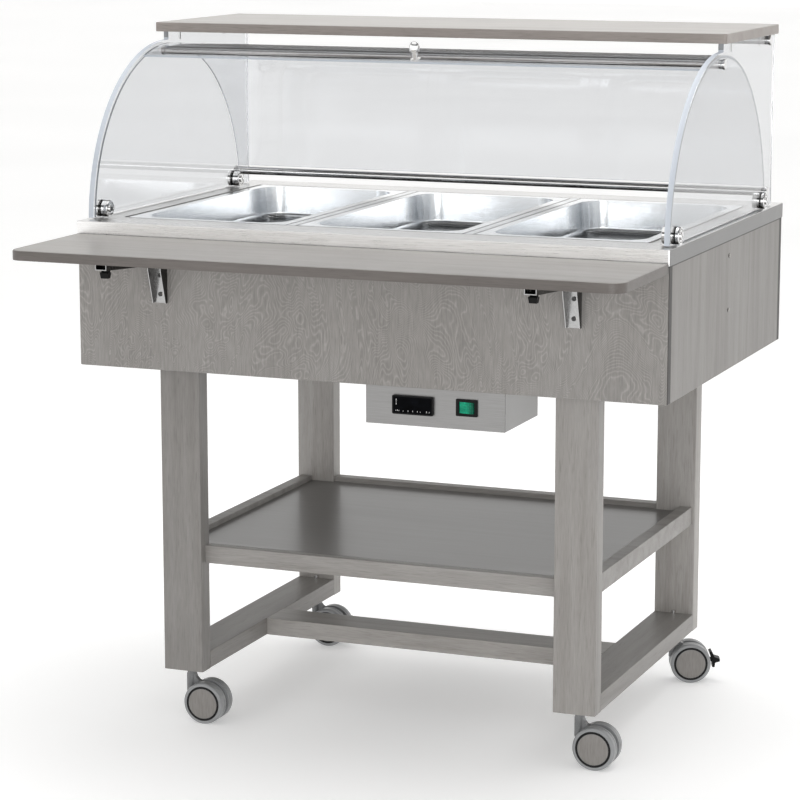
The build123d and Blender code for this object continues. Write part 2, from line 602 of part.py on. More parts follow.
# ---- control box --------------------------------------------------------------------------------
def centred(centre, size, y):
    """A block with its middle and size given in X and Z."""
    x, z = centre
    width, height = size
    return slab((x - width / 2, x + width / 2), y, (z - height / 2, z + height / 2))


def control_box():
    face = BOX_Y[0]
    back_of_face = face + SHEET
    gland_place = (220.0, 660.0)
    display_cutout = (DISPLAY_SIZE[0] - 8.0, DISPLAY_SIZE[1] - 5.5)
    switch_cutout = (BEZEL_SIZE[0] - 4.0, BEZEL_SIZE[1] - 4.0)

    shell = slab(BOX_X, (back_of_face, BOX_Y[1]), BOX_Z)
    shell -= slab((BOX_X[0] + SHEET, BOX_X[1] - SHEET), (face, BOX_Y[1] - SHEET),
                  (BOX_Z[0] + SHEET, BOX_Z[1] - SHEET))
    shell -= rod_y(gland_place[0], (BOX_Y[1] - 3.0, BOX_Y[1] + 1.0), gland_place[1], 8.0)
    seam = (back_of_face, back_of_face + BOX_SEAM[0])
    inset_x = (BOX_X[0] + BOX_SEAM[1], BOX_X[1] - BOX_SEAM[1])
    inset_z = (BOX_Z[0] + BOX_SEAM[1], BOX_Z[1])
    shell -= slab(BOX_X, seam, BOX_Z) - slab(inset_x, seam, inset_z)
    save("control_box_shell", shell)

    front = slab(BOX_X, (face, back_of_face), BOX_Z)
    front -= centred(DISPLAY_CENTRE, display_cutout, (face - 1.0, back_of_face + 1.0))
    front -= centred(SWITCH_CENTRE, switch_cutout, (face - 1.0, back_of_face + 1.0))
    save("control_box_front", front)

    body = eased(centred(DISPLAY_CENTRE, DISPLAY_SIZE, (face - 5.0, face)), Axis.Y, 3.0)
    body += centred(DISPLAY_CENTRE, display_cutout, (face, face + 58.0))
    window_size = (DISPLAY_SIZE[0] - 5.0, DISPLAY_SIZE[1] - 5.0)
    body -= centred(DISPLAY_CENTRE, window_size, (face - 5.0, face - 3.5))
    save("controller_body", body)
    save("controller_window", centred(DISPLAY_CENTRE, window_size, (face - 5.0, face - 3.5)))

    bezel = eased(centred(SWITCH_CENTRE, BEZEL_SIZE, (face - 2.5, face)), Axis.Y, 2.0)
    bezel += centred(SWITCH_CENTRE, switch_cutout, (face, face + 24.0))
    well_size = (ROCKER_SIZE[0] + 1.6, ROCKER_SIZE[1] + 0.6)
    bezel -= centred(SWITCH_CENTRE, well_size, (face - 3.0, face + 18.0))
    switch_x, switch_z = SWITCH_CENTRE
    pin_reach = ROCKER_SIZE[1] / 2 + 2.0
    bezel -= rod_z(switch_x, ROCKER_PIVOT_Y, (switch_z - pin_reach, switch_z + pin_reach),
                   PEDAL_PIN_RADIUS + RUNNING_GAP)
    save("rocker_bezel", bezel)

    rocker = centred((0, 0), ROCKER_SIZE, (-6.0, 3.0))
    rocker = eased(rocker, Axis.Z, 1.5)
    rocker += rod_z(0, 0, (0.2 - pin_reach, pin_reach - 0.2), PEDAL_PIN_RADIUS)
    save("rocker_switch", Pos(switch_x, ROCKER_PIVOT_Y, switch_z) * Rot(0, 0, -ROCKER_TILT) * rocker)

    floor = BOX_Z[0] + SHEET
    relay = slab((20.0, 70.0), (-250.0, -215.0), (floor, floor + 45.0))
    terminals = [slab((100.0 + 14.0 * way, 111.0 + 14.0 * way), (-245.0, -220.0), (floor + 6.0, floor + 28.0))
                 for way in range(6)]
    rail = slab((95.0, 186.0), (-250.0, -215.0), (floor, floor + 6.0))
    for block in terminals:
        rail += block
    save("switchgear", relay, rail)

    gland_x, gland_z = gland_place
    gland = rod_y(gland_x, (BOX_Y[1] - 10.0, BOX_Y[1] + 18.0), gland_z, 8.0)
    gland += rod_y(gland_x, (BOX_Y[1], BOX_Y[1] + 5.0), gland_z, 11.0)
    gland += rod_y(gland_x, (BOX_Y[1] - SHEET - 5.0, BOX_Y[1] - SHEET), gland_z, 11.0)
    gland -= rod_y(gland_x, (BOX_Y[1] - 11.0, BOX_Y[1] + 19.0), gland_z, 4.0)
    save("cable_gland", gland)


# ---- casters ------------------------------------------------------------------------------------
def hood(braked):
    """The swivelling body between the two wheels, trailing along +X from its stem."""
    core = rod_y(TRAIL, (-HOOD_HALF_WIDTH, HOOD_HALF_WIDTH), WHEEL_RADIUS, HOOD_RADIUS)
    neck = [(-8.0, 56.0), (-8.0, 92.0), (8.0, 92.0), (10.5, 85.0), (15.5, 79.5), (22.5, 76.5),
            (TRAIL, WHEEL_RADIUS + HOOD_RADIUS - 1.0), (TRAIL, WHEEL_RADIUS),
            (TRAIL - 30.0, WHEEL_RADIUS + 8.0)]
    core += plate_xz(neck, (-HOOD_HALF_WIDTH, HOOD_HALF_WIDTH))
    tube = rod_z(0, 0, (50.0, 98.0), STEM_TUBE_RADIUS)
    for edge in SIDES.values():
        tube -= rod_y(TRAIL, (edge * HOOD_HALF_WIDTH, edge * (WHEEL_OUTER + 5.0)), WHEEL_RADIUS,
                      WHEEL_RADIUS + WHEEL_GAP)
    body = core + tube + rod_z(0, 0, (98.0, 101.5), STEM_TUBE_RADIUS + 0.6)
    body -= rod_z(0, 0, (56.0, 102.0), STEM_RADIUS + RUNNING_GAP)
    body -= rod_y(TRAIL, (-HOOD_HALF_WIDTH, HOOD_HALF_WIDTH), WHEEL_RADIUS, AXLE_RADIUS + RUNNING_GAP)
    if braked:
        pedal_x, pedal_z = PEDAL_PLACE
        slot = PEDAL_HALF_WIDTH + 0.2
        body -= slab((pedal_x - 5.0, TRAIL + 40.0), (-slot, slot), (pedal_z - 12.0, pedal_z + 7.0))
        body -= rod_y(pedal_x, (-HOOD_HALF_WIDTH, HOOD_HALF_WIDTH), pedal_z, PEDAL_PIN_RADIUS + RUNNING_GAP)
    return body


def wheel_pair():
    """The axle and the two wheels that are fast on its ends."""
    pair = [rod_y(TRAIL, (-WHEEL_INNER, WHEEL_INNER), WHEEL_RADIUS, AXLE_RADIUS)]
    for edge in SIDES.values():
        wheel = rod_y(TRAIL, (edge * WHEEL_INNER, edge * WHEEL_OUTER), WHEEL_RADIUS, WHEEL_RADIUS)
        rims = wheel.edges().filter_by(GeomType.CIRCLE).sort_by(Axis.Y)
        wheel = fillet(rims[-1:] if edge > 0 else rims[:1], 4.0)
        face = (edge * (WHEEL_OUTER - 1.0), edge * (WHEEL_OUTER + 1.0))
        wheel -= rod_y(TRAIL, face, WHEEL_RADIUS, 33.5) - rod_y(TRAIL, face, WHEEL_RADIUS, 29.5)
        tread = (edge * TREAD_GROOVE[0], edge * TREAD_GROOVE[1])
        wheel -= (rod_y(TRAIL, tread, WHEEL_RADIUS, WHEEL_RADIUS + 1.0)
                  - rod_y(TRAIL, tread, WHEEL_RADIUS, WHEEL_RADIUS - 1.0))
        pair.append(wheel)
    return pair


def pedal():
    pedal_x, pedal_z = PEDAL_PLACE
    lever = rod_y(pedal_x, (-PEDAL_HALF_WIDTH, PEDAL_HALF_WIDTH), pedal_z, 4.0)
    spine = [(pedal_x, pedal_z + 2.0), (79.0, 47.0), (79.0, 39.0), (pedal_x, pedal_z - 2.0)]
    lever += plate_xz(spine, (-PEDAL_HALF_WIDTH, PEDAL_HALF_WIDTH))
    tread = [(78.0, 41.0), (76.5, 47.0), (71.5, 60.5), (76.5, 62.5), (83.0, 50.0), (93.5, 46.5),
             (93.5, 41.0), (84.5, 38.5), (83.0, 29.0), (78.5, 29.5)]
    lever += plate_xz(tread, (-PEDAL_TREAD_HALF_WIDTH, PEDAL_TREAD_HALF_WIDTH))
    return lever + rod_y(pedal_x, (-HOOD_HALF_WIDTH, HOOD_HALF_WIDTH), pedal_z, PEDAL_PIN_RADIUS)


def casters():
    stems = []
    for name, (side, end, heading) in CASTERS.items():
        x, y = side * LEG_CENTRE_X, end * LEG_INNER_Y
        place = Pos(x, y, 0) * Rot(0, 0, heading)
        stem = rod_z(x, y, (58.0, STEM_TOP), STEM_RADIUS)
        stems.append(stem + rod_z(x, y, (102.0, CASTER_HEIGHT), STEM_RADIUS + 2.0))
        save(f"caster_hood_{name}", place * hood(name in BRAKED))
        save(f"caster_wheels_{name}", *[place * solid for solid in wheel_pair()])
        if name in BRAKED:
            save(f"brake_pedal_{name}", place * pedal())
    save("caster_stems", *stems)


os.makedirs("parts", exist_ok=True)
base()
lower_shelf()
apron()
worktop()
well()
heating_element()
pans()
side_panels()
clamps()
guard_rods()
top_shelf()
roll_cover()
tray()
control_box()
casters()
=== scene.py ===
import json
from math import cos, pi, radians, sin

import bmesh
import bpy
from mathutils import Matrix, Vector


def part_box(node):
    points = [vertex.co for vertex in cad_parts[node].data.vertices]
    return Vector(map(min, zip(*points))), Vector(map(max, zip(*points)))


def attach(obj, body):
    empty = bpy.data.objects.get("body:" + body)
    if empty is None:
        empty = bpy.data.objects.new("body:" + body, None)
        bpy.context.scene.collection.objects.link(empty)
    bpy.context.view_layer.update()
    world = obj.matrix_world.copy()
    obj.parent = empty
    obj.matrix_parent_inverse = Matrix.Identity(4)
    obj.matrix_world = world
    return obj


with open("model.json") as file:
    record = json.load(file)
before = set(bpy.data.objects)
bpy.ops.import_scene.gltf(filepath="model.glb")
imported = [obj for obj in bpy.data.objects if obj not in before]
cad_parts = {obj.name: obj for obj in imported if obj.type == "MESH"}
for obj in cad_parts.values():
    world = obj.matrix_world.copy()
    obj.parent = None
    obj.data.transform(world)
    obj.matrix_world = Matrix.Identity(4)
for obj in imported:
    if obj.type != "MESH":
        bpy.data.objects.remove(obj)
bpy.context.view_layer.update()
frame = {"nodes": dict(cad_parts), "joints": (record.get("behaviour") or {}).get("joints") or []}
nodes = frame["nodes"]
joints = {joint["name"]: joint for joint in frame["joints"]}

MM = 0.001
CORNERS = ("front_left", "front_right", "rear_left", "rear_right")

# painted shade along the joints between parts, and a painted shadow under the worktop's rim: the tone beyond
# them, and the span of an axis that they bound
GAP_SHADE_TONE = (0.11, 0.10, 0.095, 1)
# painted shadow below the worktop's rim; painted shade at the aprons' corners, the control box's front seam,
# the tray's back and round the pans
RIM_SHADOW = ("Z", 0.0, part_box("worktop")[0][2] - 2.6 * MM)
END_GAP_SHADE = ("X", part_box("apron_front")[0][0] + 0.9 * MM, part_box("apron_front")[1][0] - 0.9 * MM)
SIDE_GAP_SHADE = ("Y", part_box("apron_right")[0][1] + 1.1 * MM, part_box("apron_right")[1][1] - 1.1 * MM)
BOX_GAP_SHADE = ("Y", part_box("control_box_shell")[0][1] + 1.1 * MM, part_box("control_box_shell")[1][1] + MM)
TRAY_GAP_SHADE = ("Y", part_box("tray_board")[0][1] - MM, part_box("tray_board")[1][1] - 4.0 * MM)
PAN_RIM_SHADE = 2.1 * MM

# the guard's round front, about the cover's hinge line
ARC_AXIS = joints["cover_roll"]["pos_m"]
PANEL_RADIUS = 326 * MM
ARC_BAND = 4 * MM

# camera and surroundings
CAMERA_PLACE = (1.920, -4.876, 1.586)
CAMERA_AZIMUTH = 21.78
CAMERA_DOWN = 10.46
CAMERA_LENS = 127.5
SKY_STRENGTH = 1.28
FLOOR_REACH = 30.0
# (height, brightness) of the room, from the horizon to overhead
SKY_BANDS = ((0.0, 1.0), (0.34, 1.0), (0.37, 0.04), (0.62, 0.08), (0.70, 0.85), (1.0, 0.85))

# turned pieces, each a closed outline of (radius, height) points
WHEEL_FACE = 26 * MM
RING_PROFILE = [(29.0 * MM, WHEEL_FACE - 0.6 * MM), (29.4 * MM, WHEEL_FACE + 0.5 * MM),
                (31.4 * MM, WHEEL_FACE + 0.9 * MM), (33.2 * MM, WHEEL_FACE + 0.5 * MM),
                (33.6 * MM, WHEEL_FACE - 0.6 * MM), (29.0 * MM, WHEEL_FACE - 0.6 * MM)]
CAP_PROFILE = [(0, WHEEL_FACE + 1.6 * MM), (10 * MM, WHEEL_FACE + 1.5 * MM),
               (20 * MM, WHEEL_FACE + 1.15 * MM), (27 * MM, WHEEL_FACE + 0.6 * MM),
               (28.8 * MM, WHEEL_FACE + 0.2 * MM),
               (29.1 * MM, WHEEL_FACE - 0.2 * MM), (0, WHEEL_FACE - 0.2 * MM)]
COLLAR_PROFILE = [(5.0 * MM, 98.0 * MM), (9.2 * MM, 98.0 * MM), (9.7 * MM, 98.6 * MM),
                  (9.7 * MM, 101.2 * MM), (9.2 * MM, 101.8 * MM), (5.0 * MM, 101.8 * MM),
                  (5.0 * MM, 98.0 * MM)]
GASKET_PROFILE = [(12.0 * MM, 0.0), (16.0 * MM, 0.0), (16.3 * MM, 0.3 * MM), (16.3 * MM, 1.1 * MM),
                  (16.0 * MM, 1.4 * MM), (12.0 * MM, 1.4 * MM), (12.0 * MM, 0.0)]
CLAMP_RADIUS = 16 * MM
CLAMP_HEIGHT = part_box("panel_clamps")[1][2] - CLAMP_RADIUS
CLAMP_PLACES = (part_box("panel_clamps")[0][1] + CLAMP_RADIUS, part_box("panel_clamps")[1][1] - CLAMP_RADIUS)

# the display's marks, as shares of its width and height: (place, height) and (start, stop)
MARK_WIDTH = 0.9 * MM
MARK_RAISE = 0.15 * MM
ROW_BASE = 0.10
COLUMN_PLACE = 0.07
MARK_ROW = ((0.06, 0.06), (0.10, 0.09), (0.14, 0.06), (0.25, 0.05), (0.38, 0.08), (0.50, 0.08),
            (0.62, 0.08), (0.70, 0.05), (0.86, 0.10), (0.93, 0.07))
MARK_COLUMN = ((0.50, 0.62), (0.66, 0.70), (0.74, 0.86))


# ---- node materials -----------------------------------------------------------------------------
def set_stops(color_ramp, stops):
    """Give a colour ramp its (place, colour) stops."""
    for spare in range(len(stops) - 2):
        color_ramp.elements.new(0.5)
    for element, (place, colour) in zip(color_ramp.elements, stops):
        element.position = place
        element.color = (*colour, 1) if len(colour) == 3 else colour


class Finish:
    """A principled material, with short calls for the nodes that feed it."""

    def __init__(self, name, **values):
        self.material = bpy.data.materials.new(name)
        self.material.use_nodes = True
        self.tree = self.material.node_tree
        self.shader = self.tree.nodes["Principled BSDF"]
        for key, value in values.items():
            self.shader.inputs[key.replace("_", " ")].default_value = value

    def node(self, kind, settings=None, **links):
        made = self.tree.nodes.new(kind)
        for key, value in (settings or {}).items():
            setattr(made, key, value)
        for key, value in links.items():
            self.put(made.inputs[key.replace("_", " ")], value)
        return made

    def put(self, socket, value):
        if isinstance(value, bpy.types.NodeSocket):
            self.tree.links.new(value, socket)
        else:
            socket.default_value = value

    def math(self, operation, *values):
        made = self.node("ShaderNodeMath", {"operation": operation})
        for socket, value in zip(made.inputs, values):
            self.put(socket, value)
        return made.outputs[0]

    def scaled(self, scale, turn=(0, 0, 0), offset=(0, 0, 0)):
        """Object coordinates, turned, moved and stretched."""
        place = self.node("ShaderNodeTexCoord").outputs["Object"]
        mapping = self.node("ShaderNodeMapping", Vector=place, Scale=scale, Rotation=turn, Location=offset)
        return mapping.outputs["Vector"]

    def noise(self, vector, scale=1.0, detail=3.0, roughness=0.5, distortion=0.0):
        made = self.node("ShaderNodeTexNoise", Vector=vector, Scale=scale, Detail=detail,
                         Roughness=roughness, Distortion=distortion)
        return made.outputs["Fac"]

    def ramp(self, factor, *stops):
        """A colour ramp of (place, colour) stops."""
        made = self.node("ShaderNodeValToRGB", Fac=factor)
        set_stops(made.color_ramp, stops)
        return made.outputs["Color"]

    def mix(self, factor, first, second, blend="MIX"):
        made = self.node("ShaderNodeMix", {"data_type": "RGBA", "blend_type": blend})
        for index, value in ((0, factor), (6, first), (7, second)):
            self.put(made.inputs[index], value)
        return made.outputs[2]

    def spread(self, factor, low, high, start=0.25, stop=0.75):
        """A number from low to high as the factor goes from start to stop."""
        made = self.node("ShaderNodeMapRange", Value=factor)
        for index, value in ((1, start), (2, stop), (3, low), (4, high)):
            made.inputs[index].default_value = value
        return made.outputs[0]

    def bump(self, height, strength, distance):
        made = self.node("ShaderNodeBump", Height=height, Strength=strength, Distance=distance)
        self.put(self.shader.inputs["Normal"], made.outputs["Normal"])

    def feed(self, **links):
        for key, value in links.items():
            self.put(self.shader.inputs[key.replace("_", " ")], value)
        return self.material


def grey(level, warmth=0.0):
    """A grey of one brightness, its red raised and its blue lowered by the warmth."""
    return (level * (1 + warmth), level, level * (1 - warmth), 1)


def facing(made, axis):
    """How squarely a surface faces along one axis, 0 to 1."""
    normal = made.node("ShaderNodeTexCoord").outputs["Normal"]
    return made.math("ABSOLUTE", made.node("ShaderNodeSeparateXYZ", Vector=normal).outputs[axis])


def darken_gaps_as_shade(made, tone, spans):
    """Paint shade along the joints between parts: darken whatever lies outside a span, from low to high along
    an axis.
    """
    across = made.node("ShaderNodeSeparateXYZ", Vector=made.node("ShaderNodeTexCoord").outputs["Object"])
    for axis, low, high in spans:
        off_middle = made.math("ABSOLUTE", made.math("SUBTRACT", across.outputs[axis], (low + high) / 2))
        beyond = made.math("GREATER_THAN", off_middle, (high - low) / 2)
        tone = made.mix(beyond, tone, made.mix(1.0, tone, GAP_SHADE_TONE, "MULTIPLY"))
    return tone


GRAIN_SCALE = {"x": (1.0, 16.0, 16.0), "y": (16.0, 1.0, 16.0), "z": (16.0, 16.0, 1.0)}


def wood(name, grain, level, contrast=1.0, seed=0.0, gloss=0.42, edge=1.0, shaded_gaps=()):
    """Grey-stained timber, its grain along one axis. Upright edges are edge times as light as faces, partly a
    darker stain and partly painted shade.
    """
    made = Finish(name)
    offset = (seed, seed * 0.7, seed * 1.3)
    stretched = made.scaled(GRAIN_SCALE[grain], offset=offset)
    bands = made.noise(stretched, 2.2, 4.0, 0.55, 0.6)
    fibres = made.noise(stretched, 32.0, 3.0, 0.6)
    pores = made.noise(made.scaled([26 * value for value in GRAIN_SCALE[grain]], offset=offset), 1.0, 2.0)
    cloud = made.noise(made.scaled((5, 5, 5), offset=offset), 1.0, 2.0)
    dark, light = level * (1 - 0.17 * contrast), level * (1 + 0.15 * contrast)
    tone = made.ramp(bands, (0.3, grey(dark, 0.06)), (0.5, grey(level, 0.05)), (0.72, grey(light, 0.04)))
    tone = made.mix(0.55, tone, made.ramp(fibres, (0.3, grey(0.42)), (0.7, grey(0.60))), "OVERLAY")
    tone = made.mix(0.30, tone, made.ramp(cloud, (0.3, grey(0.42)), (0.7, grey(0.58))), "OVERLAY")
    flecks = made.ramp(pores, (0.30, grey(0.62, 0.02)), (0.42, grey(1.0)))
    tone = made.mix(0.45, tone, flecks, "MULTIPLY")
    # upright faces darkened: partly a darker stain on the edges, partly painted shade
    if edge < 1.0:
        on_edge = made.math("LESS_THAN", facing(made, "Z"), 0.6)
        edge_stain_and_shade = (edge * 1.04, edge * 0.97, edge * 0.94, 1)
        tone = made.mix(on_edge, tone, made.mix(1.0, tone, edge_stain_and_shade, "MULTIPLY"))
    # painted shade along the joints given
    tone = darken_gaps_as_shade(made, tone, shaded_gaps)
    made.bump(made.math("ADD", fibres, pores), 0.35, 0.0003)
    return made.feed(Base_Color=tone, Roughness=made.spread(fibres, gloss - 0.05, gloss + 0.10))


def figured_veneer(name, level, lines, seed=0.0):
    """Grey-stained birch whose growth lines wander in long loops across the board."""
    made = Finish(name)
    field = made.noise(made.scaled((4.6, 4.6, 3.0), offset=(seed, 0.0, seed)), 1.0, 3.0, 0.44, 0.8)
    phase = made.math("MULTIPLY", field, lines)
    ripple = made.noise(made.scaled((75, 75, 45)), 1.0, 3.0)
    phase = made.math("ADD", phase, made.math("MULTIPLY", ripple, 9.0))
    wave = made.math("MULTIPLY_ADD", made.math("SINE", phase), 0.5, 0.5)
    fibres = made.noise(made.scaled((420, 420, 34)), 1.0, 3.0, 0.6)
    cloud = made.noise(made.scaled((4, 4, 3), offset=(seed, 0, 0)), 1.0, 3.0)
    base = made.ramp(cloud, (0.28, grey(level * 0.90, 0.055)), (0.5, grey(level, 0.05)),
                     (0.75, grey(level * 1.12, 0.04)))
    raised = made.ramp(wave, (0.0, grey(0.44)), (0.55, grey(0.47)), (0.85, grey(0.53)), (1.0, grey(0.635)))
    tone = made.mix(0.75, base, raised, "OVERLAY")
    tone = made.mix(0.55, tone, made.ramp(fibres, (0.3, grey(0.36)), (0.7, grey(0.64))), "OVERLAY")
    # painted shade at the boards' end faces and a painted shadow below the worktop's rim
    tone = darken_gaps_as_shade(made, tone, (END_GAP_SHADE, RIM_SHADOW))
    made.bump(made.math("MULTIPLY_ADD", wave, 0.5, fibres), 0.30, 0.0003)
    return made.feed(Base_Color=tone, Roughness=made.spread(fibres, 0.40, 0.55))


def board_laminate():
    """The lower shelf's smooth board, grey and satin with faint grain along the table."""
    made = Finish("shelf_laminate", Specular_IOR_Level=0.35, Coat_Weight=0.16, Coat_Roughness=0.16)
    grain = made.noise(made.scaled((1.5, 60, 60)), 2.0, 4.0, 0.6, 0.3)
    fine = made.noise(made.scaled((20, 700, 700)), 1.0, 2.0)
    tone = made.ramp(grain, (0.3, grey(0.128, 0.04)), (0.7, grey(0.156, 0.035)))
    tone = made.mix(0.2, tone, made.ramp(fine, (0.3, grey(0.44)), (0.7, grey(0.56))), "OVERLAY")
    made.bump(fine, 0.12, 0.0001)
    return made.feed(Base_Color=tone, Roughness=made.spread(grain, 0.29, 0.39))


def brushed_steel(name, along, level=0.62, rough=(0.24, 0.36), bump=0.10, end_painted_light=1.0, front_painted_light=1.0, shaded_gaps=()):
    """Steel with fine scratches along one axis and slow cloudy changes in its sheen, and painted light and
    shade on the faces that point along X and along Y.
    """
    made = Finish(name, Metallic=1.0)
    scratch = [900.0, 900.0, 900.0]
    scratch["xyz".index(along)] = 14.0
    lines = made.noise(made.scaled(scratch), 1.0, 3.0, 0.65)
    cloud = made.noise(made.scaled((7, 7, 7)), 1.0, 3.0, 0.55, 0.5)
    tone = made.ramp(lines, (0.25, grey(level * 0.86, 0.012)), (0.75, grey(level * 1.1, 0.006)))
    # painted light and shade: faces along X and Y made lighter or darker by their direction
    for axis, factor in (("X", end_painted_light), ("Y", front_painted_light)):
        turned = made.math("GREATER_THAN", facing(made, axis), 0.8)
        tone = made.mix(turned, tone, made.mix(1.0, tone, grey(factor), "MULTIPLY"))
    # painted shade along the joints given
    tone = darken_gaps_as_shade(made, tone, shaded_gaps)
    sheen = made.math("MULTIPLY_ADD", cloud, 0.10, made.spread(lines, rough[0] - 0.05, rough[1] - 0.05))
    made.bump(lines, bump, 0.0001)
    return made.feed(Base_Color=tone, Roughness=sheen)


def polished_steel(name, level=0.75, rough=0.19, shaded_gaps=()):
    """Drawn sheet steel: nearly a mirror, with soft drawing marks."""
    made = Finish(name, Metallic=1.0)
    marks = made.noise(made.scaled((90, 90, 260)), 1.0, 3.0, 0.6)
    cloud = made.noise(made.scaled((14, 14, 14)), 1.0, 2.0)
    tone = made.ramp(marks, (0.3, grey(level * 0.94, -0.02)), (0.7, grey(level * 1.04, -0.03)))
    # painted shade round the sheet's edge, where spans are given
    tone = darken_gaps_as_shade(made, tone, shaded_gaps)
    made.bump(marks, 0.02, 0.0002)
    return made.feed(Base_Color=tone, Roughness=made.spread(cloud, rough - 0.03, rough + 0.07))


def chrome(name, level=0.8, rough=0.05, underside_shade=1.0):
    """Bright plate, with painted shade on what faces down, by the underside factor."""
    made = Finish(name, Metallic=1.0)
    smear = made.noise(made.scaled((60, 60, 60)), 1.0, 3.0, 0.6)
    tone = made.ramp(smear, (0.3, grey(level * 0.95)), (0.7, grey(level)))
    # painted shade: faces that point down are darkened
    normal = made.node("ShaderNodeTexCoord").outputs["Normal"]
    upward = made.node("ShaderNodeSeparateXYZ", Vector=normal).outputs["Z"]
    upturn = made.math("MULTIPLY_ADD", upward, 0.5, 0.5)
    shade = made.ramp(upturn, (0.18, grey(underside_shade, 0.05)), (0.42, grey(1.0)))
    tone = made.mix(1.0, tone, shade, "MULTIPLY")
    return made.feed(Base_Color=tone, Roughness=made.spread(smear, rough, rough + 0.05))


def zinc(name, level=0.66, flank_light_and_shade=1.0):
    """Bright zinc plate, with painted light and shade: faces that point along the table take the flank
    factor.
    """
    made = Finish(name, Metallic=1.0)
    spangle = made.node("ShaderNodeTexVoronoi", Vector=made.scaled((1, 1, 1)), Scale=240.0)
    smear = made.noise(made.scaled((120, 120, 30)), 1.0, 3.0, 0.6)
    tone = made.ramp(spangle.outputs["Distance"], (0.0, grey(level * 0.92)), (0.8, grey(level * 1.05)))
    # painted light and shade on the faces that point along the table
    turned = made.math("GREATER_THAN", facing(made, "X"), 0.8)
    tone = made.mix(turned, tone, made.mix(1.0, tone, grey(flank_light_and_shade, 0.06), "MULTIPLY"))
    made.bump(smear, 0.06, 0.0001)
    return made.feed(Base_Color=tone, Roughness=made.spread(smear, 0.16, 0.30))


def moulded(name, level, warmth=0.0, gloss=0.38, speckle=900.0, shine=0.5):
    """Moulded plastic with a fine leathery texture."""
    made = Finish(name, Specular_IOR_Level=shine)
    grain = made.noise(made.scaled((speckle,) * 3), 1.0, 2.0, 0.6)
    cloud = made.noise(made.scaled((40, 40, 40)), 1.0, 2.0)
    tone = made.ramp(cloud, (0.3, grey(level * 0.88, warmth)), (0.7, grey(level * 1.1, warmth)))
    made.bump(grain, 0.18, 0.0001)
    return made.feed(Base_Color=tone, Roughness=made.spread(grain, gloss - 0.05, gloss + 0.08))


def acrylic(name, tint, bent=False):
    """Clear sheet whose sawn edge is frosted and has a painted glow, round a flat panel or on the end faces
    of a bent one.
    """
    made = Finish(name, IOR=1.49)
    normal = made.node("ShaderNodeTexCoord").outputs["Normal"]
    place = made.scaled((0, 1, 1), offset=(0, -ARC_AXIS[1], -ARC_AXIS[2]))
    if bent:
        radial = made.node("ShaderNodeVectorMath", {"operation": "NORMALIZE"})
        made.put(radial.inputs[0], place)
        outward = made.node("ShaderNodeVectorMath", {"operation": "DOT_PRODUCT"})
        made.put(outward.inputs[0], radial.outputs[0])
        made.put(outward.inputs[1], normal)
        edge = made.math("LESS_THAN", made.math("ABSOLUTE", outward.outputs["Value"]), 0.5)
    else:
        reach = made.node("ShaderNodeVectorMath", {"operation": "LENGTH"})
        made.put(reach.inputs[0], place)
        off_arc = made.math("ABSOLUTE", made.math("SUBTRACT", reach.outputs["Value"], PANEL_RADIUS))
        round_arc = made.math("MULTIPLY_ADD", made.math("LESS_THAN", off_arc, ARC_BAND), 0.6, 0.4)
        edge = made.math("MULTIPLY", made.math("LESS_THAN", facing(made, "X"), 0.5), round_arc)
    haze = made.noise(made.scaled((9, 9, 9)), 1.0, 2.0)
    face = made.ramp(haze, (0.3, tint), (0.7, [min(1.0, value * 1.01) for value in tint]))
    # painted glow on the sawn edges: emission where the edge mask is set
    made.put(made.shader.inputs["Emission Color"], (0.86, 0.91, 1.0, 1))
    return made.feed(Base_Color=made.mix(edge, face, (0.56, 0.60, 0.66, 1)),
                     Emission_Strength=made.math("MULTIPLY", edge, 0.12),
                     Transmission_Weight=made.math("MULTIPLY_ADD", edge, -0.75, 1.0),
                     Roughness=made.math("MULTIPLY_ADD", edge, 0.25, made.spread(haze, 0.0, 0.012)))


def hub_cap():
    """Brushed grey-brown plastic with faint upright streaks."""
    made = Finish("hub_cap")
    streaks = made.noise(made.scaled((500, 500, 45)), 1.0, 3.0, 0.6)
    tone = made.ramp(streaks, (0.3, grey(0.175, 0.07)), (0.7, grey(0.225, 0.05)))
    made.bump(streaks, 0.15, 0.0001)
    return made.feed(Base_Color=tone, Roughness=made.spread(streaks, 0.30, 0.42))


def rocker_lens():
    """Green lens, lit from within in a grid of cells, with painted shade towards its right end, the rocker's
    tilted side.
    """
    made = Finish("green_lens", Specular_IOR_Level=0.15, Coat_Weight=0.08, Coat_Roughness=0.08,
                  Emission_Strength=0.55)
    box = made.scaled((230.0, 230.0, 230.0))
    cells = made.node("ShaderNodeTexVoronoi", {"distance": "CHEBYCHEV"}, Vector=box, Scale=1.0,
                      Randomness=0.35)
    cloud = made.noise(made.scaled((120, 120, 120)), 1.0, 2.0)
    glow = made.ramp(cells.outputs["Distance"], (0.1, (0.0, 0.25, 0.13)), (0.5, (0.0, 0.13, 0.075)),
                     (0.8, (0.0, 0.05, 0.035)))
    tone = made.mix(0.4, glow, made.ramp(cloud, (0.3, (0.0, 0.05, 0.035)), (0.7, (0.01, 0.30, 0.17))))
    low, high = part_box("rocker_switch")
    across = made.node("ShaderNodeSeparateXYZ", Vector=made.node("ShaderNodeTexCoord").outputs["Object"])
    # painted shade on the rocker's tilted right side
    tilt_shade_start = low[0] + 0.45 * (high[0] - low[0])
    tilt_shade_level = made.spread(across.outputs["X"], 1.0, 0.25, tilt_shade_start, high[0])
    tilt_shade_colour = made.node("ShaderNodeCombineColor", Red=tilt_shade_level, Green=tilt_shade_level, Blue=tilt_shade_level).outputs[0]
    tone = made.mix(1.0, tone, tilt_shade_colour, "MULTIPLY")
    return made.feed(Base_Color=tone, Emission_Color=tone, Roughness=made.spread(cloud, 0.18, 0.3))


